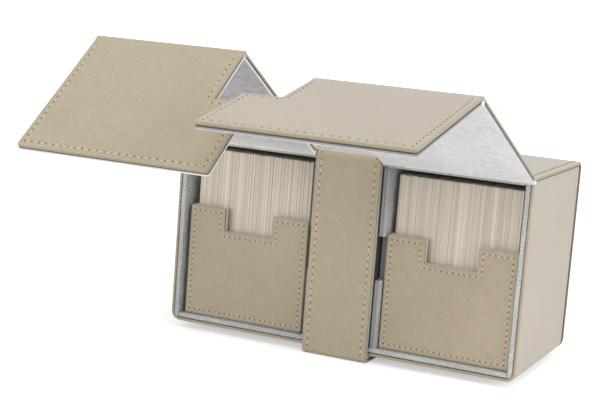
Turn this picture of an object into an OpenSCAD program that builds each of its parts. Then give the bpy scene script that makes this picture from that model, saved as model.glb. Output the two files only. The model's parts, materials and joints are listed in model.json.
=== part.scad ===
// Double deck box with a centre drawer, opened: two front lids folded up into
// gables, two card holders standing in their compartments, and the tall narrow
// drawer between them. X is the width, the open front faces -Y, +Z is up.
// The origin is on the surface that the drawer front's foot stands on, in the
// middle of the case's width and in the plane of its open front.

/* [Cards] */
// Width of a sleeved card, which lies from front to back
card_w = 64; // [60:0.5:72]
// Height of a sleeved card
card_h = 89; // [85:0.5:98]
// Cards in each deck
card_n = 100; // [40:1:110]
// Thickness of one sleeved card, with the air in its sleeve
card_t = 0.66; // [0.6:0.01:0.8]
// How far a card may stand out past the lowest one, up or forward
card_stagger = 0.35; // [0.05:0.05:0.6]

/* [Card holders] */
// Height of a holder's walls
holder_h = 60; // [45:1:80]
// Thickness of a holder's side, back and floor boards
holder_wall = 1.3; // [1:0.1:2]
// Thickness of the microfibre inside a holder's walls
holder_lining = 0.5; // [0.3:0.1:1]
// Thickness of the leatherette-wrapped front panel
face_t = 2.1; // [1.5:0.1:3]
// Thickness of the lined board behind the front panel
face_lining_t = 1.3; // [0.8:0.1:2]
// Width of the thumb notch in a holder's front
notch_w = 28.4; // [18:0.2:40]
// Depth of the thumb notch
notch_d = 12.2; // [6:0.2:20]
// Play of the deck between the holder's sides, both sides together
card_play = 0.6; // [0.4:0.1:2]
// Free space in front of the deck
deck_front_gap = 2; // [0.8:0.1:4]
// Free space behind the deck
deck_back_gap = 8.5; // [0.3:0.1:10]

/* [Case] */
// Thickness of the leatherette-wrapped outer wall
shell_t = 1.9; // [1.5:0.1:3]
// Thickness of the leatherette itself
skin_t = 0.6; // [0.4:0.1:0.9]
// Thickness of the lined inner boards
liner_t = 2.4; // [1.6:0.1:3.5]
// Outer radius of the bottom corners
corner_r = 5; // [3.5:0.1:6]
// Gap at each side of the left holder
left_room = 2.4; // [0.4:0.1:4]
// Gap at each side of the right holder
right_room = 0.6; // [0.4:0.1:4]
// Space above the cards
head_room = 3.5; // [0.8:0.1:6]
// How far the holders' fronts stand back from the case's front
set_back = 3; // [1:0.1:6]
// Gap behind the holders and the drawer
rear_gap = 0.4; // [0.2:0.1:3]
// Running gap under and beside what slides
slide_gap = 0.3; // [0.2:0.05:0.4]

/* [Centre bay] */
// Width of the drawer's bay
bay_w = 35.2; // [30:0.2:50]
// Thickness of the bay's two walls
bay_wall_t = 3.2; // [2:0.1:5]
// Height of the finger notch in each bay wall
grip_h = 23; // [16:0.5:30]
// Depth of the finger notch from the front
grip_d = 6; // [4.5:0.1:10]

/* [Cover] */
// Thickness of the top and back cover
cover_t = 2.6; // [2:0.1:4]
// How far the cover stands out past the side walls
cover_lap = 0.7; // [0:0.1:1]
// Outer radius of the rear top edge
spine_r = 4; // [3:0.1:5]

/* [Lids] */
// Thickness of the leatherette-wrapped part of a lid
wrap_t = 2; // [1.6:0.1:3]
// Thickness of a lid's microfibre-wrapped inner board
lining_t = 1.6; // [1:0.1:2.5]
// Gap between a closed lid and the case
close_gap = 0.2; // [0.1:0.05:0.5]
// How far a closed lid's flap reaches under the case
flap_reach = 76; // [50:1:80]
// How far the drawer front's foot reaches under the case
foot_reach = 30.4; // [18:0.2:40]
// Gap between the lids, and beside the drawer front
lid_gap = 0.8; // [0.4:0.1:2]
// How far the left lid stops short of the cover's side edge
left_lid_short = 2.4; // [0:0.1:5]
// Gap between a panel's board and its crease
crease_gap = 0.3; // [0.2:0.05:0.8]
// Radius of the flaps' free corners
tip_r = 1.2; // [1:0.1:4]
// Left lid, degrees from closed
left_open_angle = 120.3; // [0:0.1:180]
// Left flap, degrees between it and its lid
left_fold_angle = 112.6; // [90:0.1:180]
// Right lid, degrees from closed
right_open_angle = 115.2; // [0:0.1:180]
// Right flap, degrees between it and its lid
right_fold_angle = 142.7; // [90:0.1:180]

/* [Drawer] */
// How far the drawer front stands out past the bay at each side
front_lap = 0.4; // [0:0.1:1.5]
// How far the drawer front is set to the left of the bay's middle
front_shift = 0.8; // [0:0.1:1.2]
// How far the drawer front's lip reaches over the top
lip_reach = 15; // [8:0.5:30]
// Outer radius of the drawer front's two bends
bend_r = 3; // [2.2:0.1:4]
// Height of the drawer's tray
tray_h = 60; // [30:1:80]
// Thickness of the tray's boards
tray_wall = 1.4; // [1:0.1:2.5]
// Thickness of the lining inside the tray
tray_lining = 0.5; // [0.3:0.1:1]

/* [Magnets] */
// Diameter of the closing magnets
magnet_d = 10; // [6:0.5:14]
// Thickness of the closing magnets
magnet_t = 0.9; // [0.6:0.1:1]
// Distance from a flap's free edge to its magnets
magnet_in = 12; // [9:0.5:20]
// Distance between the two magnets of a flap
magnet_span = 46; // [20:1:60]

/* [Hidden] */

$fn = 48;
eps = 0.01;
pocket_play = 0.1;
// How far a cutting shape runs past what it cuts
past = 1;

leather = [0.73, 0.68, 0.6];
microfibre = [0.78, 0.78, 0.8];
greyboard = [0.55, 0.53, 0.5];
charcoal = [0.16, 0.16, 0.17];
card_edge = [0.82, 0.78, 0.72];
steel = [0.7, 0.7, 0.72];

// A panel is its leatherette-wrapped part and its lined inner board.
panel_t = wrap_t + lining_t;
stand_off = panel_t + close_gap;

// Card holder
deck_t = card_n * card_t;
holder_side = holder_wall + holder_lining;
holder_w = deck_t + card_play + 2 * holder_side;
holder_in_d = deck_front_gap + card_w + deck_back_gap;
holder_d = face_t + face_lining_t + holder_in_d + holder_side;

// Inside of the case
left_bay_w = holder_w + 2 * left_room;
right_bay_w = holder_w + 2 * right_room;
in_w = left_bay_w + right_bay_w + bay_w + 2 * bay_wall_t;
in_h = slide_gap + holder_side + card_h + card_stagger + head_room;
in_d = set_back + holder_d + rear_gap;
in_x0 = -in_w / 2;
in_x1 = in_w / 2;

// Outside of the case
case_w = in_w + 2 * liner_t + 2 * shell_t;
base_z = stand_off;
floor_z = base_z + shell_t + liner_t;
ceiling_z = floor_z + in_h;
frame_z = ceiling_z + liner_t;
top_z = frame_z + cover_t;
frame_d = in_d + liner_t;
case_d = frame_d + cover_t;
cover_x = case_w / 2 + cover_lap;
// Inner radius of the shell's bottom corners, which the liner's corners fill
inner_r = min(corner_r - shell_t, liner_t);

// Centre bay
bay_x0 = in_x0 + left_bay_w + bay_wall_t;
bay_x1 = bay_x0 + bay_w;
bay_mid = (bay_x0 + bay_x1) / 2;
grip_z = floor_z + in_h / 2;

// Drawer front, and the lids' edges beside it
front_w = bay_w + 2 * front_lap;
front_x0 = bay_mid - front_shift - front_w / 2;
front_x1 = front_x0 + front_w;
front_mid = (front_x0 + front_x1) / 2;
flap_step = foot_reach + lid_gap;

// Lid axes, with the lid closed: the hinge at the top edge and the crease
// that the flap folds about at the bottom edge
axis_y = -close_gap - panel_t / 2;
hinge_z = top_z - panel_t / 2;
crease_z = panel_t / 2;
crease_r = panel_t / 2;
panel_in = crease_r + crease_gap;

// Holders' and drawer's places
holder_z = floor_z + slide_gap;
left_mid = in_x0 + left_bay_w / 2;
right_mid = in_x1 - right_bay_w / 2;
tray_x0 = bay_x0 + slide_gap;
tray_x1 = bay_x1 - slide_gap;
tray_d = in_d - rear_gap + close_gap;

// ---------------------------------------------------------------- helpers

// A box from one corner to the other
module span(lo, hi) {
  translate(lo) cube(hi - lo);
}

// A flat outline in X and Z, pulled along Y from y0 to y1
module along_y(y0, y1) {
  translate([0, y1, 0]) rotate([90, 0, 0]) linear_extrude(y1 - y0) children();
}

// A flat outline in Y and Z, pulled along X from x0 to x1
module along_x(x0, x1) {
  translate([x0, 0, 0]) rotate([90, 0, 90]) linear_extrude(x1 - x0) children();
}

// Upright rectangle about x = 0 with its two bottom corners rounded
module bottom_round(w, z0, z1, r) {
  translate([-w / 2, z0 + r]) square([w, z1 - z0 - r]);
  translate([-w / 2 + r, z0]) square([w - 2 * r, r + eps]);
  for (side = [-1, 1])
    translate([side * (w / 2 - r), z0 + r]) circle(r);
}

// ------------------------------------------------------------- case shell

// The case's section, drawn in from its outside by an inset, with its own
// corner radius and its open top moved up by over
module shell_section(inset, r, over = 0) {
  bottom_round(case_w - 2 * inset, base_z + inset, frame_z + over, r);
}

// One sheet of leatherette round the left, bottom and right boards, turned
// over their front edges
module shell_skin() {
  color(leather) {
    along_y(0, skin_t) difference() {
      shell_section(0, corner_r);
      shell_section(shell_t, inner_r, past);
    }
    along_y(skin_t, frame_d) difference() {
      shell_section(0, corner_r);
      shell_section(skin_t, corner_r - skin_t, past);
    }
  }
}

module shell_board_side(side) {
  x = side * case_w / 2;
  color(greyboard) span(
    [min(x - side * skin_t, x - side * shell_t), skin_t, base_z + corner_r],
    [max(x - side * skin_t, x - side * shell_t), frame_d, frame_z]
  );
}

module shell_board_left() { shell_board_side(-1); }
module shell_board_right() { shell_board_side(1); }

// The bottom board, with pockets for the magnets that hold the flaps
module shell_board_bottom() {
  color(greyboard) difference() {
    span(
      [-case_w / 2 + corner_r, skin_t, base_z + skin_t],
      [case_w / 2 - corner_r, frame_d, base_z + shell_t]
    );
    base_magnet_places()
      cylinder(h = shell_t, r = magnet_d / 2 + pocket_play);
  }
}

// Where the base's magnets lie, at the bottom of their pockets
module base_magnet_places() {
  z = base_z + shell_t - magnet_t;
  for (x = flap_magnet_x(-1)) translate([x, flap_reach - magnet_in, z]) children();
  for (x = flap_magnet_x(1)) translate([x, flap_reach - magnet_in, z]) children();
  translate([front_mid, foot_reach - magnet_in, z]) children();
}

module base_magnets() {
  color(steel) base_magnet_places() cylinder(h = magnet_t, r = magnet_d / 2);
}

// ------------------------------------------------------------ inner liner

module liner_side(side) {
  x = side * in_w / 2;
  color(microfibre) along_y(0, in_d) intersection() {
    bottom_round(in_w + 2 * liner_t, base_z + shell_t, frame_z, inner_r);
    translate([min(x, x + side * liner_t), base_z])
      square([liner_t, frame_z - base_z]);
  }
}

module liner_left() { liner_side(-1); }
module liner_right() { liner_side(1); }

module liner_floor() {
  color(microfibre) span([in_x0, 0, floor_z - liner_t], [in_x1, in_d, floor_z]);
}

module liner_ceiling() {
  color(microfibre) span([in_x0, 0, ceiling_z], [in_x1, in_d, frame_z]);
}

module liner_back() {
  color(microfibre) span(
    [in_x0 - liner_t, in_d, base_z + shell_t], [in_x1 + liner_t, frame_d, frame_z]
  );
}

// A bay wall, with the finger notch at its front edge
module bay_wall(x0) {
  color(microfibre) difference() {
    span([x0, 0, floor_z], [x0 + bay_wall_t, in_d, ceiling_z]);
    span(
      [x0 - past, -past, grip_z - grip_h / 2],
      [x0 + bay_wall_t + past, grip_d, grip_z + grip_h / 2]
    );
  }
}

module bay_wall_left() { bay_wall(bay_x0 - bay_wall_t); }
module bay_wall_right() { bay_wall(bay_x1); }

// ------------------------------------------------------------------ cover

// Section of the cover in Y and Z: the top, the rounded spine and the back
module cover_section() {
  difference() {
    union() {
      translate([0, frame_z]) square([case_d - spine_r, cover_t]);
      translate([frame_d, base_z]) square([cover_t, top_z - spine_r - base_z]);
      translate([case_d - spine_r, top_z - spine_r]) circle(spine_r);
    }
    translate([-past, base_z - past])
      square([frame_d + past, frame_z - base_z + past]);
  }
}

// Cut-out in the cover's front edge for the drawer front's lip
module lip_cutout(gap) {
  span(
    [front_x0 - gap, -past, frame_z - past],
    [front_x1 + gap, lip_reach + gap, top_z + past]
  );
}

// The cover seen from behind, drawn in by an inset: its two bottom corners
// follow the shell's
module cover_outline(inset) {
  along_y(-past, case_d + past)
    bottom_round(
      2 * (cover_x - inset), base_z + inset, top_z + past, corner_r + cover_lap - inset
    );
}

module cover_skin() {
  color(leather) difference() {
    intersection() {
      along_x(-cover_x, cover_x) cover_section();
      cover_outline(0);
    }
    cover_top_board_shape(0);
    cover_back_board_shape();
    lip_cutout(lid_gap);
  }
}

module cover_top_board_shape(low) {
  difference() {
    span(
      [-cover_x + skin_t, skin_t, frame_z - past + low],
      [cover_x - skin_t, case_d - spine_r, top_z - skin_t]
    );
    lip_cutout(lid_gap + skin_t);
  }
}

module cover_back_board_shape() {
  intersection() {
    span(
      [-cover_x + skin_t, frame_d - past, base_z + skin_t],
      [cover_x - skin_t, case_d - skin_t, top_z - spine_r]
    );
    cover_outline(skin_t);
  }
}

module cover_top_board() {
  color(greyboard) cover_top_board_shape(past);
}

module cover_back_board() {
  color(greyboard) difference() {
    cover_back_board_shape();
    span([-case_w, frame_d - 2 * past, 0], [case_w, frame_d, top_z]);
  }
}

// ------------------------------------------------------------------- lids

// Edges of a lid: at the case's side, beside the drawer front, and at the
// middle, where the two flaps meet
function lid_side_x(side) = side < 0 ? left_lid_short - cover_x : cover_x;
function lid_front_x(side) = side < 0 ? front_x0 - lid_gap : front_x1 + lid_gap;
function lid_mid_x(side) = front_mid + side * lid_gap;

// Places across the width of a flap's two magnets
function flap_magnet_x(side) =
  let (mid = (lid_side_x(side) + lid_front_x(side)) / 2)
  [mid - magnet_span / 2, mid + magnet_span / 2];

// Puts what is drawn on a closed lid where the lid rests, open
module on_lid(side) {
  open = side < 0 ? left_open_angle : right_open_angle;
  translate([0, axis_y, hinge_z]) rotate([-open, 0, 0])
    translate([0, -axis_y, -hinge_z]) children();
}

// Puts what is drawn on a closed flap where the flap rests
module on_flap(side) {
  fold = side < 0 ? left_fold_angle : right_fold_angle;
  on_lid(side)
    translate([0, axis_y, crease_z]) rotate([90 - fold, 0, 0])
      translate([0, -axis_y, -crease_z]) children();
}

module crease_bead(side, z) {
  x0 = min(lid_side_x(side), lid_front_x(side));
  x1 = max(lid_side_x(side), lid_front_x(side));
  color(leather) translate([x0, axis_y, z]) rotate([0, 90, 0])
    cylinder(h = x1 - x0, r = crease_r);
}

// The closed lid's panel, from y0 to y1 and drawn in by an amount all round
module lid_slab(side, y0, y1, inset) {
  x0 = min(lid_side_x(side), lid_front_x(side));
  x1 = max(lid_side_x(side), lid_front_x(side));
  span(
    [x0 + inset, y0, crease_z + panel_in + inset],
    [x1 - inset, y1, hinge_z - panel_in - inset]
  );
}

module lid_skin(side) {
  color(leather) on_lid(side) difference() {
    lid_slab(side, -stand_off, -stand_off + wrap_t, 0);
    lid_slab(side, -stand_off + skin_t, -stand_off + wrap_t + past, skin_t);
  }
}

module lid_board(side) {
  color(greyboard) on_lid(side)
    lid_slab(side, -stand_off + skin_t, -stand_off + wrap_t, skin_t);
}

module lid_lining(side) {
  color(microfibre) on_lid(side)
    lid_slab(side, -stand_off + wrap_t, -close_gap, 0);
}

// Outline of the closed flap in X and Y, drawn in all round: narrow beside
// the drawer front's foot, then wide enough to meet the other flap
module flap_outline(side, inset) {
  xs = lid_side_x(side) - side * inset;
  xn = lid_front_x(side) + side * inset;
  xw = lid_mid_x(side) + side * inset;
  y0 = axis_y + panel_in + inset;
  y1 = flap_reach - inset;
  step = flap_step + inset;
  r = tip_r;
  translate([min(xs, xn), y0]) square([abs(xn - xs), step - y0 + eps]);
  translate([min(xs, xw), step]) square([abs(xw - xs), y1 - r - step]);
  translate([min(xs, xw) + r, y1 - r - eps]) square([abs(xw - xs) - 2 * r, r + eps]);
  for (x = [min(xs, xw) + r, max(xs, xw) - r]) translate([x, y1 - r]) circle(r);
}

module flap_slab(side, z0, z1, inset) {
  translate([0, 0, z0]) linear_extrude(z1 - z0) flap_outline(side, inset);
}

module flap_magnet_places(side) {
  for (x = flap_magnet_x(side))
    translate([x, flap_reach - magnet_in, wrap_t - magnet_t]) children();
}

module flap_skin(side) {
  color(leather) on_flap(side) difference() {
    flap_slab(side, 0, wrap_t, 0);
    flap_slab(side, skin_t, wrap_t + past, skin_t);
  }
}

module flap_board(side) {
  color(greyboard) on_flap(side) difference() {
    flap_slab(side, skin_t, wrap_t, skin_t);
    flap_magnet_places(side) cylinder(h = wrap_t, r = magnet_d / 2 + pocket_play);
  }
}

module flap_lining(side) {
  color(microfibre) on_flap(side) flap_slab(side, wrap_t, panel_t, 0);
}

module flap_magnets(side) {
  color(steel) on_flap(side) flap_magnet_places(side)
    cylinder(h = magnet_t, r = magnet_d / 2);
}

module left_lid_crease() { crease_bead(-1, hinge_z); }
module left_lid_skin() { lid_skin(-1); }
module left_lid_board() { lid_board(-1); }
module left_lid_lining() { lid_lining(-1); }
module left_flap_crease() { on_lid(-1) crease_bead(-1, crease_z); }
module left_flap_skin() { flap_skin(-1); }
module left_flap_board() { flap_board(-1); }
module left_flap_lining() { flap_lining(-1); }
module left_flap_magnets() { flap_magnets(-1); }

module right_lid_crease() { crease_bead(1, hinge_z); }
module right_lid_skin() { lid_skin(1); }
module right_lid_board() { lid_board(1); }
module right_lid_lining() { lid_lining(1); }
module right_flap_crease() { on_lid(1) crease_bead(1, crease_z); }
module right_flap_skin() { flap_skin(1); }
module right_flap_board() { flap_board(1); }
module right_flap_lining() { flap_lining(1); }
module right_flap_magnets() { flap_magnets(1); }

// ----------------------------------------------------------------- drawer

// Section of the drawer front's outside in Y and Z: the lip over the top,
// the front and the foot under the case, down to a thickness
module front_section(t) {
  difference() {
    union() {
      translate([-stand_off, bend_r]) square([bend_r + stand_off, top_z - 2 * bend_r]);
      translate([-stand_off + bend_r, 0]) square([stand_off - bend_r + foot_reach, stand_off]);
      translate([-stand_off + bend_r, top_z - stand_off])
        square([stand_off - bend_r + lip_reach, stand_off]);
      for (z = [bend_r, top_z - bend_r])
        translate([-stand_off + bend_r, z]) circle(bend_r);
    }
    translate([-stand_off + t, t])
      square([stand_off + max(foot_reach, lip_reach), top_z - 2 * t]);
  }
}

// The three boards inside the drawer front's leatherette
module front_boards(depth) {
  x0 = front_x0 + skin_t;
  x1 = front_x1 - skin_t;
  y = -stand_off;
  span([x0, y + skin_t, bend_r], [x1, y + wrap_t + depth, top_z - bend_r]);
  span([x0, y + bend_r, skin_t], [x1, foot_reach - skin_t, wrap_t + depth]);
  span(
    [x0, y + bend_r, top_z - wrap_t - depth], [x1, lip_reach - skin_t, top_z - skin_t]
  );
}

module drawer_front_skin() {
  color(leather) difference() {
    along_x(front_x0, front_x1) front_section(wrap_t);
    front_boards(eps);
  }
}

module foot_magnet_place() {
  translate([front_mid, foot_reach - magnet_in, wrap_t - magnet_t]) children();
}

module drawer_front_boards() {
  color(greyboard) difference() {
    front_boards(0);
    foot_magnet_place() cylinder(h = wrap_t, r = magnet_d / 2 + pocket_play);
  }
}

module drawer_foot_magnet() {
  color(steel) foot_magnet_place() cylinder(h = magnet_t, r = magnet_d / 2);
}

// The lined inner board behind the front and above the foot
module drawer_front_lining() {
  color(microfibre) {
    span(
      [front_x0, -stand_off + wrap_t, wrap_t], [front_x1, -close_gap, top_z - wrap_t]
    );
    span([front_x0, -close_gap, wrap_t], [front_x1, foot_reach, panel_t]);
  }
}

// The tray's outside or inside, drawn in from its boards' outer faces
module tray_block(inset, top) {
  span(
    [tray_x0 + inset, -close_gap + inset, holder_z + inset],
    [tray_x1 - inset, tray_d - close_gap - inset, holder_z + tray_h + top]
  );
}

module drawer_tray() {
  color(charcoal) difference() {
    tray_block(0, 0);
    tray_block(tray_wall, past);
  }
}

module drawer_tray_lining() {
  color(microfibre) difference() {
    tray_block(tray_wall, 0);
    tray_block(tray_wall + tray_lining, past);
  }
}

// ----------------------------------------------------------- card holders

// A holder's front outline in X and Z, with the thumb notch
module face_outline(mid) {
  difference() {
    translate([mid - holder_w / 2, holder_z]) square([holder_w, holder_h]);
    translate([mid - notch_w / 2, holder_z + holder_h - notch_d])
      square([notch_w, notch_d + past]);
  }
}

module holder_face(mid) {
  color(leather) along_y(set_back, set_back + face_t) face_outline(mid);
}

// The holder's sides, floor and back, drawn in from their outer faces
module holder_block(mid, inset, y0, top) {
  span(
    [mid - holder_w / 2 + inset, y0, holder_z + inset],
    [mid + holder_w / 2 - inset, set_back + holder_d - inset, holder_z + holder_h + top]
  );
}

module holder_box(mid) {
  color(leather) difference() {
    holder_block(mid, 0, set_back + face_t, 0);
    holder_block(mid, holder_wall, set_back + face_t - past, past);
  }
}

// Microfibre inside the walls, and the thicker lined board behind the front
module holder_lining_piece(mid) {
  y_face = set_back + face_t + face_lining_t;
  color(microfibre) {
    difference() {
      holder_block(mid, holder_wall, set_back + face_t, 0);
      holder_block(mid, holder_side, set_back + face_t - past, past);
    }
    intersection() {
      along_y(set_back + face_t, y_face) face_outline(mid);
      holder_block(mid, holder_side, set_back + face_t, 0);
    }
  }
}

// How far card i stands out past the lowest card: uneven, but repeatable
function card_rise(i, seed) =
  card_stagger * (0.5 + 0.5 * sin(i * 137.5 + seed) * cos(i * 61.3 - seed));

// The left and right edge of each card in turn, at a height or depth for
// each card
function card_edges(x0, level, turn, seed) = [
  for (i = [0 : card_n - 1], s = [0, 1])
    [x0 + (i + s) * card_t, level + turn * card_rise(i, seed)]
];

// A deck standing in its holder with the cards' long edges to the front; each
// card has its own height and its own place from front to back
module deck(mid, seed) {
  x0 = mid - deck_t / 2;
  x1 = mid + deck_t / 2;
  y0 = set_back + face_t + face_lining_t + deck_front_gap;
  y1 = y0 + card_w;
  z0 = holder_z + holder_side;
  z1 = z0 + card_h;
  color(card_edge) intersection() {
    along_y(y0 - past, y1)
      polygon(concat([[x0, z0]], card_edges(x0, z1, 1, seed), [[x1, z0]]));
    translate([0, 0, z0]) linear_extrude(card_h + past)
      polygon(concat([[x0, y1]], card_edges(x0, y0, -1, seed + 50), [[x1, y1]]));
  }
}

module left_holder_box() { holder_box(left_mid); }
module left_holder_face() { holder_face(left_mid); }
module left_holder_lining() { holder_lining_piece(left_mid); }
module left_deck() { deck(left_mid, 0); }

module right_holder_box() { holder_box(right_mid); }
module right_holder_face() { holder_face(right_mid); }
module right_holder_lining() { holder_lining_piece(right_mid); }
module right_deck() { deck(right_mid, 200); }

// ------------------------------------------------------------------ nodes

shell_skin();
shell_board_left();
shell_board_right();
shell_board_bottom();
liner_left();
liner_right();
liner_floor();
liner_ceiling();
liner_back();
bay_wall_left();
bay_wall_right();
cover_skin();
cover_top_board();
cover_back_board();
base_magnets();
left_lid_crease();
left_lid_skin();
left_lid_board();
left_lid_lining();
left_flap_crease();
left_flap_skin();
left_flap_board();
left_flap_lining();
left_flap_magnets();
right_lid_crease();
right_lid_skin();
right_lid_board();
right_lid_lining();
right_flap_crease();
right_flap_skin();
right_flap_board();
right_flap_lining();
right_flap_magnets();
drawer_front_skin();
drawer_front_boards();
drawer_front_lining();
drawer_foot_magnet();
drawer_tray();
drawer_tray_lining();
left_holder_box();
left_holder_face();
left_holder_lining();
left_deck();
right_holder_box();
right_holder_face();
right_holder_lining();
right_deck();
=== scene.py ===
# Double deck box with a centre drawer, opened: two front lids folded up into
# gables, two card holders with their decks, and the tall narrow drawer front
# between them. X is the width, the open front faces -Y, +Z is up, in metres.
import json
from math import cos, pi, radians, sin

import bmesh
import bpy
from mathutils import Matrix, Vector
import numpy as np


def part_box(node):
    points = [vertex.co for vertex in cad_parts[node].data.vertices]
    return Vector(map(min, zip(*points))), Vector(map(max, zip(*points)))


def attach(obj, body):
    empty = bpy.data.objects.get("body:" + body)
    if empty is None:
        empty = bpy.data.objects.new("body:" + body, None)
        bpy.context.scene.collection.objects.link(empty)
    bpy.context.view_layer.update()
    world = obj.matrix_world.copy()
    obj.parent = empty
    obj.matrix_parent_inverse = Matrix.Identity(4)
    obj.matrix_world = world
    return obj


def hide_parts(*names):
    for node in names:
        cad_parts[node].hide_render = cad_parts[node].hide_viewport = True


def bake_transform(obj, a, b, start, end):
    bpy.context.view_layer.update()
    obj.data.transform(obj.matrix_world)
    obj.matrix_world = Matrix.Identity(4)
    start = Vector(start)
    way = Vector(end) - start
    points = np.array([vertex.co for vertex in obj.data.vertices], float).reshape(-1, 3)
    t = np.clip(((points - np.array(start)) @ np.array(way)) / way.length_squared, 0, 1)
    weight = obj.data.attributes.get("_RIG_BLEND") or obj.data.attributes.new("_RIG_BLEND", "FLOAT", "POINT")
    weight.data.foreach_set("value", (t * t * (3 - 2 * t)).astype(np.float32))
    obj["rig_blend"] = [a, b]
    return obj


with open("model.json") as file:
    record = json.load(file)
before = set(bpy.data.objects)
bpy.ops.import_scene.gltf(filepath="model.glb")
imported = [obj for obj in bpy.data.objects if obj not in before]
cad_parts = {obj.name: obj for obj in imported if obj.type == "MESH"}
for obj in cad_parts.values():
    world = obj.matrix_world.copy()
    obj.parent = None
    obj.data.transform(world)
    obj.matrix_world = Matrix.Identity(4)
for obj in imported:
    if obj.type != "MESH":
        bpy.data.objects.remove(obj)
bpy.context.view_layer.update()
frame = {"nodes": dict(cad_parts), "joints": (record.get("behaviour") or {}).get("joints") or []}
mm = 0.001

# ------------------------------------------------------------------ studio
# The photograph's viewpoint, a white sweep under the box and soft white light.
# Neither the floor nor the lamps are part of the box.


def srgb(red, green, blue):
    """A screen colour, 0 to 255 a channel, as linear light."""
    return (*[((c / 255 + 0.055) / 1.055) ** 2.4 for c in (red, green, blue)], 1.0)


def add(tree, kind, settings=None, feed=(), **named):
    """A new node with its settings, fed by position or by name, with values or other sockets."""
    node = tree.nodes.new(kind)
    for name, value in (settings or {}).items():
        setattr(node, name, value)
    sockets = [(node.inputs[i], value) for i, value in enumerate(feed)]
    sockets += [(node.inputs[name.replace("_", " ")], value) for name, value in named.items()]
    for socket, value in sockets:
        if isinstance(value, bpy.types.NodeSocket):
            tree.links.new(value, socket)
        else:
            socket.default_value = value
    return node


camera = bpy.data.objects.new("Camera", bpy.data.cameras.new("Camera"))
camera.location = (0.294, -0.7118, 0.2044)
camera.rotation_euler = [radians(angle) for angle in (80.64, -4.31, 24.90)]
camera.data.sensor_width = 36
camera.data.lens = 90.7
bpy.context.scene.collection.objects.link(camera)
bpy.context.scene.camera = camera
bpy.context.scene.view_settings.view_transform = "Standard"
box_middle = Vector((0, 0, 0.08))


def lamp(name, place, size, power):
    """A square soft box at a place, facing the middle of the box."""
    light = bpy.data.lights.new(name, "AREA")
    light.size = size
    light.energy = power
    holder = bpy.data.objects.new(name, light)
    holder.location = place
    holder.rotation_euler = (box_middle - Vector(place)).to_track_quat("-Z", "Y").to_euler()
    bpy.context.scene.collection.objects.link(holder)


lamp("key_light", (0.5, -1.0, 1.5), 1.2, 11)
lamp("side_light", (1.6, -0.2, 0.6), 1.0, 11)
lamp("front_light", (-0.6, -1.5, 0.28), 0.5, 8)

world = bpy.data.worlds.new("Studio")
world.use_nodes = True
bpy.context.scene.world = world
tree = world.node_tree
tree.nodes.clear()
path = add(tree, "ShaderNodeLightPath")
straight = (path.outputs["Is Camera Ray"], path.outputs["Is Glossy Ray"])
seen = add(tree, "ShaderNodeMath", {"operation": "MAXIMUM"}, straight)
ambient = add(tree, "ShaderNodeBackground", Color=(1, 1, 1, 1), Strength=0.62)
white = add(tree, "ShaderNodeBackground", Color=(1, 1, 1, 1), Strength=1.0)
mixed = add(
    tree, "ShaderNodeMixShader", feed=(seen.outputs[0], ambient.outputs[0], white.outputs[0])
)
add(tree, "ShaderNodeOutputWorld", Surface=mixed.outputs[0])

floor_half = 4.0
floor_mesh = bpy.data.meshes.new("floor")
floor_plan = [(x * floor_half, y * floor_half, 0) for x, y in ((-1, -1), (1, -1), (1, 1), (-1, 1))]
floor_mesh.from_pydata(floor_plan, [], [(0, 1, 2, 3)])
floor = bpy.data.objects.new("floor", floor_mesh)
bpy.context.scene.collection.objects.link(floor)


def new_material(name):
    """A material, with its node tree and its shader."""
    material = bpy.data.materials.new(name)
    material.use_nodes = True
    return material, material.node_tree, material.node_tree.nodes["Principled BSDF"]


floor_white, tree, shader = new_material("Floor white")
path = add(tree, "ShaderNodeLightPath")
place = add(tree, "ShaderNodeTexCoord")
away = add(tree, "ShaderNodeVectorMath", {"operation": "LENGTH"}, (place.outputs["Object"],))
lift = add(
    tree, "ShaderNodeMapRange",
    Value=away.outputs["Value"], From_Min=0.3, From_Max=1.5, To_Min=0.45, To_Max=1.0,
)
in_view = path.outputs["Is Camera Ray"]
glow = add(tree, "ShaderNodeMath", {"operation": "MULTIPLY"}, (in_view, lift.outputs[0]))
shader.inputs["Base Color"].default_value = srgb(240, 240, 240)
shader.inputs["Roughness"].default_value = 0.9
shader.inputs["Emission Color"].default_value = (1, 1, 1, 1)
tree.links.new(glow.outputs[0], shader.inputs["Emission Strength"])
floor_mesh.materials.append(floor_white)

# -------------------------------------------------------------- case shell
# The case's sides and bottom are greyboard in one sheet of leatherette, which
# runs round the two bottom corners and is turned in over the front edges.


def group(name, inputs, output):
    """An empty shader group with number or vector inputs and one number out."""
    tree = bpy.data.node_groups.new(name, "ShaderNodeTree")
    for socket, start in inputs.items():
        kind = "NodeSocketVector" if start is None else "NodeSocketFloat"
        made = tree.interface.new_socket(socket, in_out="INPUT", socket_type=kind)
        if start is not None:
            made.default_value = start
    tree.interface.new_socket(output, in_out="OUTPUT", socket_type="NodeSocketFloat")
    return tree, tree.nodes.new("NodeGroupInput"), tree.nodes.new("NodeGroupOutput")


# Pressed twill: diagonal ribs crossed by finer ones. Height runs from 0 to 1.
twill, given, result = group("Pressed twill", {"Vector": None, "Pitch": mm}, "Height")
split = add(twill, "ShaderNodeSeparateXYZ", feed=(given.outputs["Vector"],))
rate = add(twill, "ShaderNodeMath", {"operation": "DIVIDE"}, (2 * pi, given.outputs["Pitch"]))
rib_waves = []
for operation, share in (("SUBTRACT", 0.65), ("ADD", 0.35)):
    across = add(twill, "ShaderNodeMath", {"operation": operation}, split.outputs[:2])
    scaled = (across.outputs[0], rate.outputs[0])
    turns = add(twill, "ShaderNodeMath", {"operation": "MULTIPLY"}, scaled)
    wave = add(twill, "ShaderNodeMath", {"operation": "SINE"}, (turns.outputs[0],))
    rib = add(twill, "ShaderNodeMath", {"operation": "MULTIPLY"}, (wave.outputs[0], share))
    rib_waves.append(rib.outputs[0])
both = add(twill, "ShaderNodeMath", {"operation": "ADD"}, rib_waves)
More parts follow.
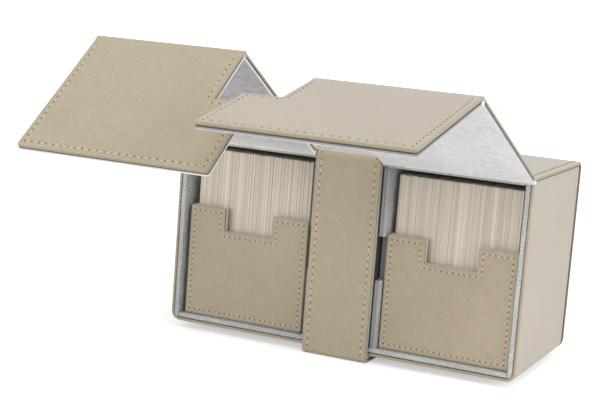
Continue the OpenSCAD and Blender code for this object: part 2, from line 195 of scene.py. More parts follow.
height = add(twill, "ShaderNodeMath", {"operation": "MULTIPLY_ADD"}, (both.outputs[0], 0.5, 0.5))
twill.links.new(height.outputs[0], result.inputs["Height"])

# Uneven tone: soft patches with a finer mottle in them, from 0 to 1.
tone_inputs = {"Vector": None, "Patch": 20.0, "Mottle": 300.0, "Share": 0.5}
patches, given, result = group("Uneven tone", tone_inputs, "Tone")
layers = [
    add(
        patches, "ShaderNodeTexNoise",
        Vector=given.outputs["Vector"], Scale=given.outputs[scale], Detail=3.0,
    ).outputs[0]
    for scale in ("Patch", "Mottle")
]
mottle = add(patches, "ShaderNodeMath", {"operation": "SUBTRACT"}, (layers[1], layers[0]))
tone = add(
    patches, "ShaderNodeMath", {"operation": "MULTIPLY_ADD"},
    (mottle.outputs[0], given.outputs["Share"], layers[0]),
)
patches.links.new(tone.outputs[0], result.inputs["Tone"])


def uneven_tone(tree, patch, mottle, share):
    """The uneven tone of a piece at each spot of it, with so many patches and specks a metre."""
    place = add(tree, "ShaderNodeTexCoord").outputs["Object"]
    tones = add(
        tree, "ShaderNodeGroup", {"node_tree": patches},
        Vector=place, Patch=patch, Mottle=mottle, Share=share,
    )
    return tones.outputs[0]


# A Mix node's colour sockets go by number, because its kinds share their names.
first_tone, second_tone, mixed_tone = 6, 7, 2


def between(tree, factor, dark, light):
    """The colour that a factor from 0 to 1 picks between two tones."""
    mix = add(tree, "ShaderNodeMix", {"data_type": "RGBA", "clamp_factor": True}, (factor,))
    mix.inputs[first_tone].default_value = dark
    mix.inputs[second_tone].default_value = light
    return mix.outputs[mixed_tone]


def towards(tree, factor, colour, tone):
    """A colour drawn towards another tone by a factor from 0 to 1."""
    mix = add(tree, "ShaderNodeMix", {"data_type": "RGBA", "clamp_factor": True}, (factor,))
    tree.links.new(colour, mix.inputs[first_tone])
    mix.inputs[second_tone].default_value = tone
    return mix.outputs[mixed_tone]


def painted_gap_shade(tree, rim, colour, tone):
    """A colour drawn to a darker tone where "rim" passes 1: painted shade down in a gap between two sheets.
    """
    deep = add(tree, "ShaderNodeMath", {"operation": "SUBTRACT", "use_clamp": True}, (rim, 1.0))
    return towards(tree, deep.outputs[0], colour, tone)


def leatherette(name, light, dark, edge_light_and_shade, pitch, relief, contrast, sheen):
    """Tan leatherette: pressed twill on the sheet's own UV map, in two near tones. Where the sheet goes
    over an edge, its "rim", it is deeper, partly the stretched sheet's own tone and partly painted
    edge shade, and painted shade makes it darkest in the gap beside another sheet."""
    material, tree, shader = new_material(name)
    sheet = add(tree, "ShaderNodeUVMap", {"uv_map": "sheet"})
    ribs = add(tree, "ShaderNodeGroup", {"node_tree": twill}, (sheet.outputs[0], pitch))
    uneven = uneven_tone(tree, patch=22.0, mottle=260.0, share=0.45)
    ribbed = (ribs.outputs[0], contrast, -contrast / 2)
    blend = add(tree, "ShaderNodeMath", {"operation": "MULTIPLY_ADD"}, ribbed)
    shade = add(tree, "ShaderNodeMath", {"operation": "ADD"}, (blend.outputs[0], uneven))
    rim = add(tree, "ShaderNodeAttribute", {"attribute_name": "rim"}).outputs["Fac"]
    face_tone = between(tree, shade.outputs[0], dark, light)
    edge_tone = towards(tree, rim, face_tone, edge_light_and_shade)
    all_tones = painted_gap_shade(tree, rim, edge_tone, srgb(62, 54, 40))
    tree.links.new(all_tones, shader.inputs["Base Color"])
    bump = add(tree, "ShaderNodeBump", Strength=0.8, Distance=relief, Height=ribs.outputs[0])
    tree.links.new(bump.outputs[0], shader.inputs["Normal"])
    shader.inputs["Roughness"].default_value = 0.42
    shader.inputs["Specular IOR Level"].default_value = 0.65
    shader.inputs["Sheen Weight"].default_value = sheen
    shader.inputs["Sheen Roughness"].default_value = 0.4
    return material


def outline(corners, flush, inset, steps=4):
    """A board's plan, anticlockwise, as points. Corner i is (u, v, radius) and edge i leaves it.
    Edges are drawn in by inset, except those in flush, and each arc keeps its own centre."""
    points = []
    for i, (u, v, radius) in enumerate(corners):
        here = Vector((u, v))
        along = (here - Vector(corners[i - 1][:2])).normalized()
        left = Vector((-along.y, along.x))
        onward = (Vector(corners[(i + 1) % len(corners)][:2]) - here).normalized()
        edge_before = (i - 1) % len(corners)
        side = 1 if along.cross(onward) > 0 else -1
        if not radius:
            shift = left * (0 if edge_before in flush else inset)
            shift += Vector((-onward.y, onward.x)) * (0 if i in flush else inset)
            points.append(here + shift)
            continue
        reach = max(radius, inset) if side > 0 else radius
        centre = here - along * reach + left * side * reach
        for step in range(steps + 1):
            turn = pi / 2 * step / steps
            ray = along * sin(turn) - left * side * cos(turn)
            points.append(centre + (reach - side * inset) * ray)
    return points


def quarter(radius, steps):
    """Points of a quarter round as (inset, depth), from the rim in to the face."""
    angles = [pi / 2 * step / steps for step in range(steps + 1)]
    return [(radius * (1 - cos(a)), radius * (1 - sin(a))) for a in angles]


def wrapped_board(corners, thick, edge, tuck, skin=0.0, seam=None, flush=(), slot=None):
    """A board in its sheet, lying flat: u, v, and depth down from its face.
    Its edges are rounded at the face by edge and at the back by tuck. With a skin the sheet is
    a shell that leaves the back open for its board. seam=(inset, half width, depth) presses a
    groove for stitches. Edges in flush join another sheet: they stay square, and the groove
    runs out before them. slot=(depth, height) undercuts the back's rim, where a board lies on
    it with a shadow gap. The vertices' "rim" is 0 on the face, 1 where the sheet goes over an
    edge and 2 in that gap."""
    rings = [(skin, skin, (), 1), (skin, thick, (), 1)] if skin else []
    back = thick
    if slot:
        # Rim 2: the materials paint shade in this gap.
        rings += [(slot[0], thick, flush, 2), (slot[0], thick - slot[1], flush, 2)]
        back -= slot[1]
    in_gap = 1 if slot else 0
    rings += [
        (inset, back - depth, flush, 1 + in_gap * (1 - depth / tuck))
        for inset, depth in reversed(quarter(tuck, steps=2))
    ]
    rings += [
        (inset, depth, flush, (depth / edge) ** 2) for inset, depth in quarter(edge, steps=4)
    ]
    flat_from = edge * 1.5
    rings.append((flat_from, 0, flush, 0))
    groove_from = len(rings)
    if seam:
        middle, width, sink = seam
        rings += [
            (middle + width * t, sink * cos(t * pi / 2) ** 2, (), 0)
            for t in (-1, -0.5, 0, 0.5, 1)
        ]
    bm = bmesh.new()
    rim = bm.verts.layers.float.new("rim")
    loops = []
    for inset, depth, still, share in rings:
        loops.append([bm.verts.new((*point, depth)) for point in outline(corners, still, inset)])
        for vert in loops[-1]:
            vert[rim] = share
    for low, high in zip(loops, loops[1:]):
        for i in range(len(low)):
            bm.faces.new((low[i - 1], low[i], high[i], high[i - 1]))
    bm.faces.new(reversed(loops[0]))
    bm.faces.new(loops[-1])
    for i in flush if seam else ():
        start = Vector((*corners[i][:2], 0))
        along = (Vector((*corners[(i + 1) % len(corners)][:2], 0)) - start).normalized()
        inward = Vector((-along.y, along.x, 0))
        whole = bm.verts[:] + bm.edges[:] + bm.faces[:]
        run_out = start + inward * (middle + 2 * width)
        bmesh.ops.bisect_plane(bm, geom=whole, plane_co=run_out, plane_no=inward)
        for vert in sum(loops[groove_from:], []):
            if (vert.co - start).dot(inward) < middle + 1.5 * width:
                vert.co.z = 0
    bmesh.ops.remove_doubles(bm, verts=bm.verts, dist=1e-7)
    bmesh.ops.recalc_face_normals(bm, faces=bm.faces)
    return bm


def spread_sheet(bm):
    """Gives a flat board's mesh the UV map of its sheet, in metres, carried on round its edges."""
    bm.normal_update()
    sheet = bm.loops.layers.uv.new("sheet")
    for face in bm.faces:
        for loop in face.loops:
            u, v, depth = loop.vert.co
            loop[sheet].uv = (u + depth * face.normal.x, v + depth * face.normal.y)


def quarter_bends(origin, heading, inward, runs, radius):
    """A course of straight runs joined by quarter bends towards its inner side, in a plane.
    Returns place(along, depth), and the distances along it where a sheet must be cut to bend."""
    bend = radius * pi / 2
    bend_steps = 6
    cuts = []
    start = 0.0
    for run in runs[:-1]:
        cuts += [start + run + bend * step / bend_steps for step in range(bend_steps + 1)]
        start += run + bend

    def place(along, depth):
        at, ahead, into = Vector(origin), Vector(heading), Vector(inward)
        for run in runs[:-1]:
            if along <= run:
                break
            along -= run
            at += ahead * run
            centre = at + into * radius
            if along <= bend:
                turn = along / radius
                return centre + (radius - depth) * (ahead * sin(turn) - into * cos(turn))
            along -= bend
            at = centre + ahead * radius
            ahead, into = into, -ahead
        return at + ahead * along + into * depth

    return place, cuts


def cut_across(bm, axis, places):
    """Cuts a flat board's mesh along lines across one of its axes, so that it can bend there."""
    normal = Vector((1, 0, 0)) if axis == "u" else Vector((0, 1, 0))
    for place in places:
        whole = bm.verts[:] + bm.edges[:] + bm.faces[:]
        bmesh.ops.bisect_plane(bm, geom=whole, plane_co=normal * place, plane_no=normal, dist=1e-7)


def lay(bm, place):
    """Moves a flat board's mesh to where it belongs: place takes and gives a point."""
    for vert in bm.verts:
        vert.co = place(vert.co)


def mesh_object(name, bm, material, crisp):
    """A mesh made an object of one material, smooth but where it turns by crisp degrees."""
    bmesh.ops.recalc_face_normals(bm, faces=bm.faces)
    mesh = bpy.data.meshes.new(name)
    bm.to_mesh(mesh)
    bm.free()
    mesh.materials.append(material)
    mesh.shade_smooth()
    mesh.set_sharp_from_angle(angle=radians(crisp))
    made = bpy.data.objects.new(name, mesh)
    bpy.context.scene.collection.objects.link(made)
    return made


def piece(name, bm, material, body, slot, *stands_for):
    """Finishes a mesh as a named piece on a body, in place of the given CAD nodes."""
    made = mesh_object(name, bm, material, crisp=50)
    even = made.modifiers.new("even_normals", "WEIGHTED_NORMAL")
    even.weight = 100
    even.keep_sharp = True
    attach(made, body)
    if stands_for:
        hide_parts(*stands_for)


# Leatherette tones: light, dark, then the edge tone, partly the stretched sheet's own deeper tone and partly
# painted edge shade.
tan = leatherette(
    "Leatherette", srgb(187, 173, 149), srgb(140, 125, 100), srgb(150, 136, 108),
    pitch=1.2 * mm, relief=0.2 * mm, contrast=1.8, sheen=0.6,
)
smooth_tan = leatherette(
    "Leatherette, smooth", srgb(184, 174, 157), srgb(168, 157, 139), srgb(155, 141, 115),
    pitch=0.8 * mm, relief=0.02 * mm, contrast=0.3, sheen=0.25,
)

shell_low, shell_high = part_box("shell_skin")
leather_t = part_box("shell_board_left")[0].x - shell_low.x
shell_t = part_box("liner_left")[0].x - shell_low.x
corner_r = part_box("shell_board_left")[0].z - shell_low.z
side_run = shell_high.z - shell_low.z - corner_r
bottom_run = shell_high.x - shell_low.x - 2 * corner_r
# The rounds of a wrapped board's face and back edges, and the slot in its rim
turned_edge = (0.6 * mm, 0.4 * mm)
skin_slot = (0.45 * mm, 0.2 * mm)
around, shell_cuts = quarter_bends(
    (shell_low.x, shell_high.z), (0, -1), (1, 0), (side_run, bottom_run, side_run), corner_r
)
sheet_length = 2 * side_run + bottom_run + corner_r * pi
bm = wrapped_board(
    [(0, 0, 0), (sheet_length, 0, 0), (sheet_length, shell_high.y, 0), (0, shell_high.y, 0)],
    shell_t, *turned_edge, leather_t, flush=(1, 2, 3), slot=skin_slot,
)
cut_across(bm, "u", shell_cuts)
spread_sheet(bm)


def on_shell(spot):
    at = around(spot.x, spot.z)
    return Vector((at.x, spot.y, at.y))


lay(bm, on_shell)
piece("shell_leather", bm, smooth_tan, "case", "leatherette", "shell_skin")

# ---------------------------------------------------------- boards inside
# Greyboard stiffens every wrapped wall, lid and flap. It lies inside the
# leatherette and only its cut edges would ever show.


def two_tone(name, dark, light, patch, mottle, share, roughness, metallic=0.0):
    """A plain material, uneven between two near tones."""
    material, tree, shader = new_material(name)
    tones = between(tree, uneven_tone(tree, patch, mottle, share), dark, light)
    tree.links.new(tones, shader.inputs["Base Color"])
    shader.inputs["Roughness"].default_value = roughness
    shader.inputs["Metallic"].default_value = metallic
    return material


def coat(word, material):
    """Gives a material to the CAD nodes with a word in their names."""
    for name, node in frame["nodes"].items():
        if word in name:
            for slot in node.material_slots:
                slot.material = material


greyboard = two_tone(
    "Greyboard", srgb(128, 122, 114), srgb(158, 152, 143),
    patch=60.0, mottle=900.0, share=0.6, roughness=0.9,
)
coat("board", greyboard)

# ------------------------------------------------------------ lined boards
# The inside of the case is greyboard in grey microfibre: two sides, floor,
# ceiling and back, with softly rounded front edges against the leatherette.


def microfibre(name, light, dark, edge, speckle):
    """Grey or silvery microfibre: a fine speckle in soft patches, matt with a little sheen. Over an
    edge, its "rim", it takes an edge tone, painted light or shade on that edge, and painted shade
    makes it darkest in the gap beside another sheet."""
    material, tree, shader = new_material(name)
    nap = uneven_tone(tree, patch=35.0, mottle=speckle, share=0.65)
    spread = add(tree, "ShaderNodeMapRange", Value=nap, From_Min=0.3, From_Max=0.7)
    face_tone = between(tree, spread.outputs[0], dark, light)
    edge_share = 0.9
    rim = add(tree, "ShaderNodeAttribute", {"attribute_name": "rim"}).outputs["Fac"]
    over_edge = add(tree, "ShaderNodeMath", {"operation": "MINIMUM"}, (rim, 1.0))
    partly = (over_edge.outputs[0], edge_share)
    edge_light_and_shade = add(tree, "ShaderNodeMath", {"operation": "MULTIPLY"}, partly)
    edge_tone = towards(tree, edge_light_and_shade.outputs[0], face_tone, edge)
    all_tones = painted_gap_shade(tree, rim, edge_tone, srgb(112, 106, 104))
    tree.links.new(all_tones, shader.inputs["Base Color"])
    bump = add(tree, "ShaderNodeBump", Strength=0.5, Distance=0.08 * mm, Height=nap)
    tree.links.new(bump.outputs[0], shader.inputs["Normal"])
    shader.inputs["Roughness"].default_value = 0.95
    shader.inputs["Specular IOR Level"].default_value = 0.15
    shader.inputs["Sheen Weight"].default_value = 0.15
    return material


def rounded(bm, edges, radius):
    """Rounds some edges of a mesh by a radius."""
    bmesh.ops.bevel(
        bm, geom=edges, offset=radius, segments=3, profile=0.5, affect="EDGES", clamp_overlap=True
    )


def softened(node, radius):
    """A copy of a CAD node's mesh, merged, with its sharp edges rounded."""
    bm = bmesh.new()
    bm.from_mesh(frame["nodes"][node].data)
    bmesh.ops.remove_doubles(bm, verts=bm.verts, dist=1e-6)
    bmesh.ops.dissolve_limit(bm, angle_limit=radians(1), verts=bm.verts, edges=bm.edges)
    least = radians(30)
    sharp = [e for e in bm.edges if len(e.link_faces) == 2 and e.calc_face_angle() > least]
    rounded(bm, sharp, radius)
    return bm


grey = microfibre(
    "Grey microfibre", srgb(206, 207, 205), srgb(134, 134, 133), srgb(152, 151, 150), speckle=900.0
)
for name in ("liner_left", "liner_right", "liner_floor", "liner_ceiling", "liner_back"):
    bm = softened(name, 0.7 * mm)
    piece(name + "_cloth", bm, grey, "case", "microfibre", name)

# --------------------------------------------------------------- bay walls
# Each wall of the centre bay is two thin lined boards back to back, cut away
# at the front for a finger behind the drawer front.


def levels(node, axis):
    """Where a CAD node has corners along one axis, in order."""
    return sorted({round(v.co[axis], 6) for v in frame["nodes"][node].data.vertices})


grip_outer_r, grip_inner_r = 0.6 * mm, 0.8 * mm
for name in ("bay_wall_left", "bay_wall_right"):
    low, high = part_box(name)
    grip_d, (grip_z0, grip_z1) = levels(name, 1)[1], levels(name, 2)[1:3]
    side_view = [
        (low.y, low.z, 0), (high.y, low.z, 0), (high.y, high.z, 0), (low.y, high.z, 0),
        (low.y, grip_z1, grip_outer_r), (grip_d, grip_z1, grip_inner_r),
        (grip_d, grip_z0, grip_inner_r), (low.y, grip_z0, grip_outer_r),
    ]
    layer_t = (high.x - low.x) / 2
    wall = bmesh.new()
    for x_face, inward in ((low.x, 1), (high.x, -1)):
        layer = wrapped_board(side_view, layer_t, edge=0.5 * mm, tuck=0.35 * mm)
        lay(layer, lambda spot: Vector((x_face + inward * spot.z, spot.x, spot.y)))
        part = bpy.data.meshes.new("layer")
        layer.to_mesh(part)
        layer.free()
        wall.from_mesh(part)
        bpy.data.meshes.remove(part)
    piece(name + "_cloth", wall, grey, "case", "microfibre", name)

# ------------------------------------------------------------------- cover
# One stitched sheet with a board in it makes the top and the back, bent round
# the rear top edge. It stops short of the drawer front's lip at the front.

cover_low, cover_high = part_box("cover_skin")
frame_z = shell_high.z
cover_t = cover_high.z - frame_z
spine_r = cover_high.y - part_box("cover_top_board")[1].y
front_low, front_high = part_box("drawer_front_skin")
lid_gap = front_low.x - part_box("left_lid_skin")[1].x
lip_reach = max(
    v.co.y for v in frame["nodes"]["drawer_front_skin"].data.vertices if v.co.z > frame_z
)
top_run = cover_high.y - spine_r
back_run = cover_high.z - spine_r - cover_low.z
over, cover_cuts = quarter_bends((0, cover_high.z), (1, 0), (0, -1), (top_run, back_run), spine_r)
cover_length = top_run + spine_r * pi / 2 + back_run
# A row of stitches lies in a groove: its inset from the edge, half width and depth
seam = (2.9 * mm, 0.9 * mm, 0.2 * mm)
cover_seam = (3.2 * mm, 0.9 * mm, 0.08 * mm)
cover_slot = (0.9 * leather_t, 0.6 * mm)
notch_x0, notch_x1 = front_low.x - lid_gap, front_high.x + lid_gap
notch_y, notch_r = lip_reach + lid_gap, 0.8 * mm
foot_r = corner_r + cover_high.x - shell_high.x
cover_corners = [
    (cover_low.x, 0, 0), (notch_x0, 0, 0), (notch_x0, notch_y, notch_r),
    (notch_x1, notch_y, notch_r), (notch_x1, 0, 0), (cover_high.x, 0, 0),
    (cover_high.x, cover_length, foot_r), (cover_low.x, cover_length, foot_r),
]
cover_flush = (0, 4)
bm = wrapped_board(
    cover_corners, cover_t, 0.8 * mm, 0.5 * mm, leather_t, cover_seam, cover_flush, cover_slot
)
cut_across(bm, "v", cover_cuts)
spread_sheet(bm)


def on_cover(spot):
    at = over(spot.y, spot.z)
    return Vector((spot.x, at.x, at.y))


lay(bm, on_cover)
piece("cover_leather", bm, smooth_tan, "case", "leatherette", "cover_skin")


def seam_runs(corners, seam, place, flush=(), met=()):
    """The straight runs of a board's seam where it lies: lists of (spot, facing). None runs along
    an edge in flush. Those beside it run up to it if it is in met, and else end short."""
    inset, width, sink = seam
    turns = outline([(u, v, 0) for u, v, radius in corners], met, inset)
    runs = []
    for i, (first, last) in enumerate(zip(turns, turns[1:] + turns[:1])):
        if i in flush:
            continue
        count = max(2, round((last - first).length / mm))
        flat_run = [first.lerp(last, i / count) for i in range(count + 1)]
        spots = [place(Vector((*spot, sink))) for spot in flat_run]
        insides = [place(Vector((*spot, sink + mm))) for spot in flat_run]
        runs.append([(spot, (spot - inside).normalized()) for spot, inside in zip(spots, insides)])
    return runs


seams = {"case": seam_runs(cover_corners, cover_seam, on_cover, cover_flush)}

# -------------------------------------------------------------------- lids
# Each lid and its flap are a leatherette-wrapped board outside and a board in
# silvery suede inside. On the left the suede is a darker copy, painted shade,
# but for a painted light band by the hinge. Both sheets run on over the hinge
# and over the fold.

# Edge tones: painted shade on the suede's edges, and a painted highlight on the darker copy's edges and on
# its band by the hinge.
suede_edge_shade, shaded_suede_highlight = srgb(140, 136, 145), srgb(226, 224, 221)
suede = microfibre(
    "Silver suede", srgb(246, 246, 245), srgb(212, 212, 213), suede_edge_shade, speckle=420.0
)
shaded_suede = microfibre(
    "Silver suede, painted shade", srgb(206, 206, 207), srgb(164, 164, 166), shaded_suede_highlight,
    speckle=420.0,
)


def turned(joint, degrees):
    """A turn about a joint's axis, as a matrix."""
    spot, axis = Vector(joint["pos_m"]), Vector(joint["axis"])
    to_spot, from_spot = Matrix.Translation(spot), Matrix.Translation(-spot)
    return to_spot @ Matrix.Rotation(radians(degrees), 4, axis) @ from_spot


def shut_box(node, opened):
    """A node's lowest and highest corner with its lid or flap shut."""
    shut = opened.inverted()
    spots = [shut @ v.co for v in frame["nodes"][node].data.vertices]
    return Vector(map(min, *spots)), Vector(map(max, *spots))


def strip(name, section, rim, x0, x1, material, bodies, start, end):
    """A band along X with a closed section of (y, z) points, the first rim of them on its outer
    side, bent between two bodies."""
    bm = bmesh.new()
    ends = [[bm.verts.new((x, y, z)) for y, z in section] for x in (x0, x1)]
    for i in range(len(section)):
        bm.faces.new((ends[0][i - 1], ends[0][i], ends[1][i], ends[1][i - 1]))
    bm.faces.new(ends[0])
    bm.faces.new(ends[1])
    outer = [bm.edges.get((ring[i], ring[i + 1])) for ring in ends for i in range(rim - 1)]
    rounded(bm, outer, 0.5 * mm)
    sheet = bm.loops.layers.uv.new("sheet")
    for face in bm.faces:
        for loop in face.loops:
            loop[sheet].uv = (loop.vert.co.x, loop.vert.co.y - loop.vert.co.z)
    made = mesh_object(name, bm, material, crisp=60)
    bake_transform(made, *bodies, start=(0, *start), end=(0, *end))
    return made


def curve_through(first, corner, last, steps=6):
    """Points of a smooth bend from first to last, pulled towards a corner."""
    ts = [step / steps for step in range(steps + 1)]
    return [first * (1 - t) ** 2 + corner * 2 * t * (1 - t) + last * t * t for t in ts]


def cut_at(spot):
    """A spot as the cut across the hinge shows it: (y, z)."""
    return Vector((spot.y, spot.z))


lining_edge = (0.5 * mm, 0.4 * mm)
lining_slot = (0.7 * mm, 0.25 * mm)
painted_light_band = 18 * mm
flap_r, step_r = 1.2 * mm, 0.8 * mm
hinge_steps, ridge_steps = 5, 8
# The suede's round at the hinge starts at this angle, tucked up this far
hinge_from = radians(-58)
suede_tuck = 0.25 * mm
foot_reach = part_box("drawer_front_lining")[1].y
step_y = foot_reach + lid_gap
joints = {joint["name"]: joint for joint in frame["joints"]}
for side in ("left", "right"):
    swing, fold = joints[side + "_lid_swing"], joints[side + "_flap_fold"]
    lid_open = turned(swing, -swing["range_deg"][0])
    flap_open = turned(fold, -fold["range_deg"][0]) @ lid_open
    hinge_at, crease_at = cut_at(Vector(swing["pos_m"])), cut_at(Vector(fold["pos_m"]))
    lining = shaded_suede if side == "left" else suede

    skin_low, skin_high = shut_box(side + "_lid_skin", lid_open)
    lining_low, lining_high = shut_box(side + "_lid_lining", lid_open)
    x0, x1 = skin_low.x, skin_high.x
    lid_corners = [
        (x0, skin_low.z, 0), (x1, skin_low.z, 0), (x1, skin_high.z, 0), (x0, skin_high.z, 0),
    ]
    wrap_t = skin_high.y - skin_low.y
    lining_t = lining_high.y - lining_low.y

    def on_lid(spot):
        return lid_open @ Vector((spot.x, skin_low.y + spot.z, spot.y))

    bm = wrapped_board(lid_corners, wrap_t, *turned_edge, leather_t, seam, (0, 2), skin_slot)
    spread_sheet(bm)
    lay(bm, on_lid)
    seams[side + "_lid"] = seam_runs(lid_corners, seam, on_lid, (0, 2), (0, 2))
    piece(side + "_lid_leather", bm, tan, side + "_lid", "leatherette", side + "_lid_skin")
    bm = wrapped_board(lid_corners, lining_t, *lining_edge, flush=(0, 2), slot=lining_slot)
    # On the left lid a band by the hinge takes the lighter edge tone: painted light.
    if side == "left":
        cut_across(bm, "v", [skin_high.z - painted_light_band])
        for vert in bm.verts:
            if vert.co.y > skin_high.z - painted_light_band / 2:
                vert[bm.verts.layers.float["rim"]] = 1
    lay(bm, lambda spot: lid_open @ Vector((spot.x, lining_high.y - spot.z, spot.y)))
    piece(side + "_lid_suede", bm, lining, side + "_lid", "microfibre", side + "_lid_lining")

    flap_low, flap_high = shut_box(side + "_flap_skin", flap_open)
    flap_lining_high = shut_box(side + "_flap_lining", flap_open)[1]
    if side == "left":
        flap_corners = [
            (x0, flap_low.y, 0), (x1, flap_low.y, 0), (x1, step_y, step_r),
            (flap_high.x, step_y, step_r), (flap_high.x, flap_high.y, flap_r),
            (x0, flap_high.y, flap_r),
        ]
    else:
        flap_corners = [
            (x0, flap_low.y, 0), (x1, flap_low.y, 0), (x1, flap_high.y, flap_r),
            (flap_low.x, flap_high.y, flap_r), (flap_low.x, step_y, step_r), (x0, step_y, step_r),
        ]

    def on_flap(spot):
        return flap_open @ Vector((spot.x, spot.y, flap_low.z + spot.z))

    bm = wrapped_board(flap_corners, wrap_t, *turned_edge, leather_t, seam, (0,), skin_slot)
    spread_sheet(bm)
    lay(bm, on_flap)
    seams[side + "_flap"] = seam_runs(flap_corners, seam, on_flap, (0,), (0,))
    piece(side + "_flap_leather", bm, tan, side + "_flap", "leatherette", side + "_flap_skin")
    bm = wrapped_board(flap_corners, lining_t, *lining_edge, flush=(0,), slot=lining_slot)
    lay(bm, lambda spot: flap_open @ Vector((spot.x, spot.y, flap_lining_high.z - spot.z)))
    piece(side + "_flap_suede", bm, lining, side + "_flap", "microfibre", side + "_flap_lining")

    # Both sheets over the hinge: from the cover's front edge to the lid
    lid_top, lid_foot = [
        {
            level: cut_at(lid_open @ Vector((0, y, z)))
            for level, y in (("out", skin_low.y), ("mid", skin_high.y), ("in", lining_high.y))
        }
        for z in (skin_high.z, skin_low.z)
    ]
    origin, up_lid = lid_open @ Vector((0, 0, 0)), lid_open @ Vector((0, 0, 1))
    ahead = (cut_at(origin) - cut_at(up_lid)).normalized()
    cover_edge = Vector((0, cover_high.z))
    valley = lid_top["out"] - ahead * (lid_top["out"].y - cover_high.z) / ahead.y
    half_t = (lining_high.y - skin_low.y) / 2
    mid_z = cover_high.z - wrap_t
    mid_path = [Vector((0, mid_z)), Vector((hinge_at.x, mid_z)), lid_top["mid"]]
    out_path = curve_through(cover_edge, valley, lid_top["out"])
    made = strip(
        side + "_hinge_leather", out_path + mid_path[::-1], len(out_path), x0, x1, tan,
        ("case", side + "_lid"), out_path[0], out_path[-1],
    )
    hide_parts(side + "_lid_crease")
    lid_in = cut_at(lid_open.to_3x3() @ Vector((0, 1, 0)))
    towards_case = Vector((cos(hinge_from), sin(hinge_from)))
    arc = [
        towards_case.slerp(lid_in, t / hinge_steps) * half_t + hinge_at
        for t in range(hinge_steps + 1)
    ]
    in_path = [Vector((0, arc[0].y + suede_tuck))] + arc + [lid_top["in"]]
    strip(
        side + "_hinge_suede", in_path + mid_path[::-1], len(in_path), x0, x1, suede,
        ("case", side + "_lid"), (in_path[0].x, hinge_at.y), (lid_top["mid"].x, hinge_at.y),
    )

    # Both sheets over the fold: from the lid to the flap
    flap_head = {
        level: cut_at(flap_open @ Vector((0, flap_low.y, z)))
        for level, z in (("out", flap_low.z), ("mid", flap_high.z), ("in", flap_lining_high.z))
    }
    flap_in = cut_at(flap_open.to_3x3() @ Vector((0, 0, 1)))
    bend = (lid_in + flap_in) / (1 + lid_in.dot(flap_in))
    ridge = [
        (-lid_in).slerp(-flap_in, t / ridge_steps) * half_t + crease_at
        for t in range(ridge_steps + 1)
    ]
    out_path = [lid_foot["out"]] + ridge + [flap_head["out"]]
    mid_path = [lid_foot["mid"], crease_at + bend * (wrap_t - half_t), flap_head["mid"]]
    in_path = curve_through(lid_foot["in"], crease_at + bend * half_t, flap_head["in"])
    made = strip(
        side + "_fold_leather", out_path + mid_path[::-1], len(out_path), x0, x1, tan,
        (side + "_lid", side + "_flap"), mid_path[0], mid_path[-1],
    )
    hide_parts(side + "_flap_crease")
    strip(
        side + "_fold_suede", in_path + mid_path[::-1], len(in_path), x0, x1, lining,
        (side + "_lid", side + "_flap"), in_path[0], in_path[-1],
    )

# ------------------------------------------------------------------ drawer
# The drawer's tall front is one stitched strip of leatherette over three
# boards, lined behind: a lip over the top, the front, and a foot underneath.
# The tray that it is glued to stands in the centre bay.

board_corners = frame["nodes"]["drawer_front_boards"].data.vertices
bend_r = min(v.co.z for v in board_corners if v.co.y < front_low.y + mm)
front_runs = (
    foot_reach - front_low.y - bend_r, front_high.z - 2 * bend_r, lip_reach - front_low.y - bend_r
)
round_front, front_cuts = quarter_bends((foot_reach, 0), (-1, 0), (0, 1), front_runs, bend_r)
strip_length = sum(front_runs) + pi * bend_r
strip_r = 1.0 * mm
front_corners = [
    (front_low.x, 0, strip_r), (front_high.x, 0, strip_r),
    (front_high.x, strip_length, strip_r), (front_low.x, strip_length, strip_r),
]


def on_front(spot):
    at = round_front(spot.y, spot.z)
    return Vector((spot.x, at.x, at.y))


bm = wrapped_board(front_corners, wrap_t, 0.6 * mm, 0.35 * mm, leather_t, seam, slot=skin_slot)
cut_across(bm, "v", front_cuts)
spread_sheet(bm)
lay(bm, on_front)
piece("drawer_front_leather", bm, tan, "drawer", "leatherette", "drawer_front_skin")
seams["drawer"] = seam_runs(front_corners, seam, on_front)
bm = softened("drawer_front_lining", 0.45 * mm)
piece("drawer_front_cloth", bm, grey, "drawer", "microfibre", "drawer_front_lining")

# Near-black board: partly the tray's own colour, partly painted shade, so that the bay walls' finger notches
# show deep shade behind them.
tray_board = two_tone(
    "Tray board", srgb(40, 40, 42), srgb(62, 61, 62),
    patch=30.0, mottle=700.0, share=0.6, roughness=0.75,
)
bm = softened("drawer_tray", 0.3 * mm)
piece("drawer_tray_walls", bm, tray_board, "drawer", "tray_board", "drawer_tray")
bm = softened("drawer_tray_lining", 0.2 * mm)
piece("drawer_tray_cloth", bm, grey, "drawer", "microfibre", "drawer_tray_lining")

# ----------------------------------------------------------- card holders
# Each holder is a lined tray of thin boards in leatherette, closed in front
# by a thicker stitched panel with a thumb notch in its top edge.


def spread_box_sheet(bm):
    """Gives a boxy mesh the sheet's UV map, in metres, from the three main directions."""
    bm.normal_update()
    sheet = bm.loops.layers.uv.new("sheet")
    for face in bm.faces:
        way = max(range(3), key=lambda axis: abs(face.normal[axis]))
        for loop in face.loops:
            loop[sheet].uv = [loop.vert.co[axis] for axis in range(3) if axis != way]


